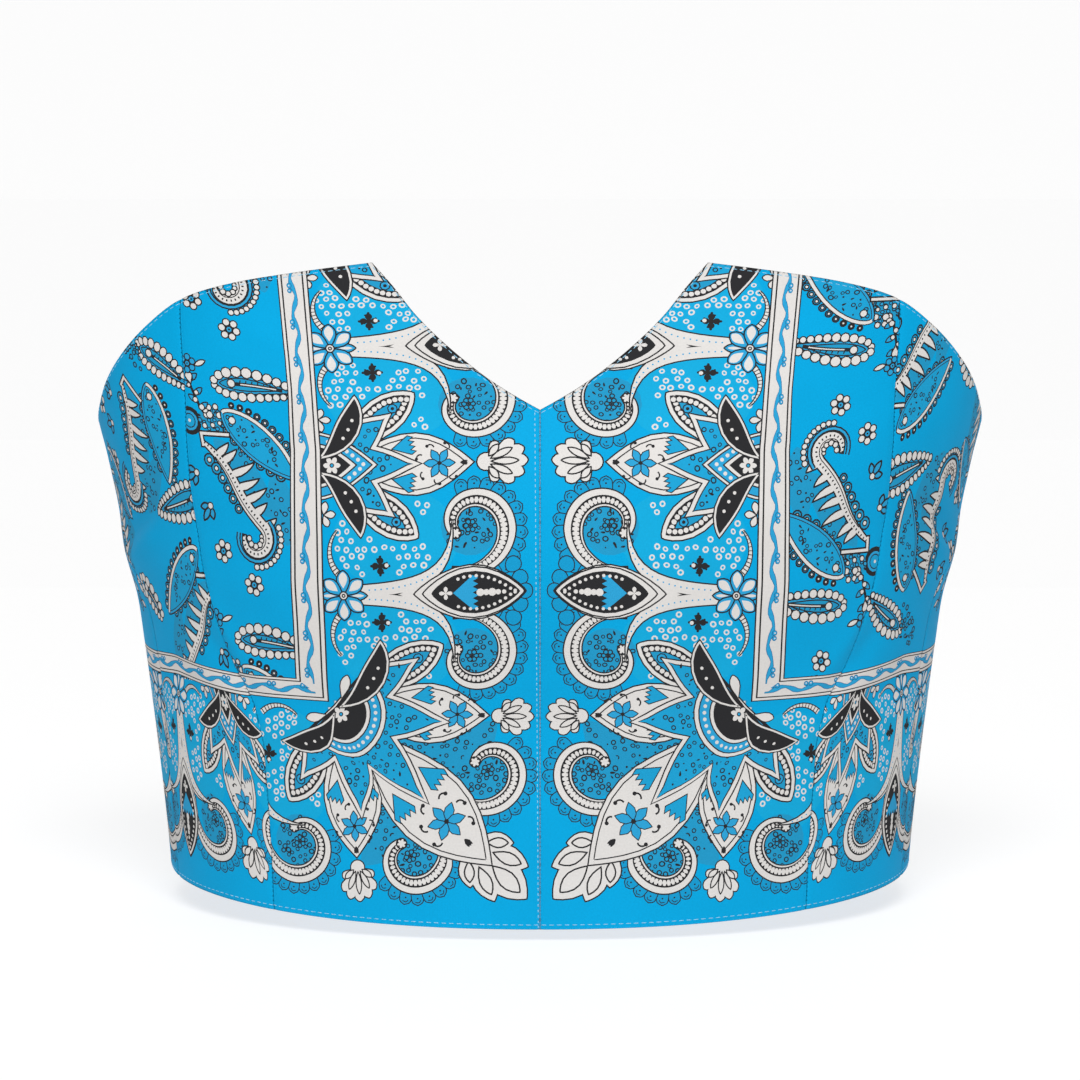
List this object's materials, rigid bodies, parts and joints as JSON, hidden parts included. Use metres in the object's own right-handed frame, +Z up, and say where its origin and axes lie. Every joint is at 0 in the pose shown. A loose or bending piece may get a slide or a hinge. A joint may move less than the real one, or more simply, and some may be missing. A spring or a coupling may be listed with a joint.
{
  "type": "strapless top",
  "caption": "Strapless cropped top with a sweetheart neckline and shaped princess seams, standing in its worn, hollow form; open at the top edge and hem.",
  "frame": {"origin": "middle of the hollow at underarm level, where the wearer's chest holds the top up", "axes": "+X across the front towards the viewer's right, -Y out of the front, +Z up"},
  "size_m": [0.3076, 0.2212, 0.2233],
  "materials": {
    "printed_cotton": "smooth printed cotton sateen, soft sheen"
  },
  "bodies": {
    "root": {"front_left": "printed_cotton", "front_right": "printed_cotton", "side_left": "printed_cotton", "side_right": "printed_cotton", "back_left": "printed_cotton", "back_right": "printed_cotton"}
  },
  "joints": []
}
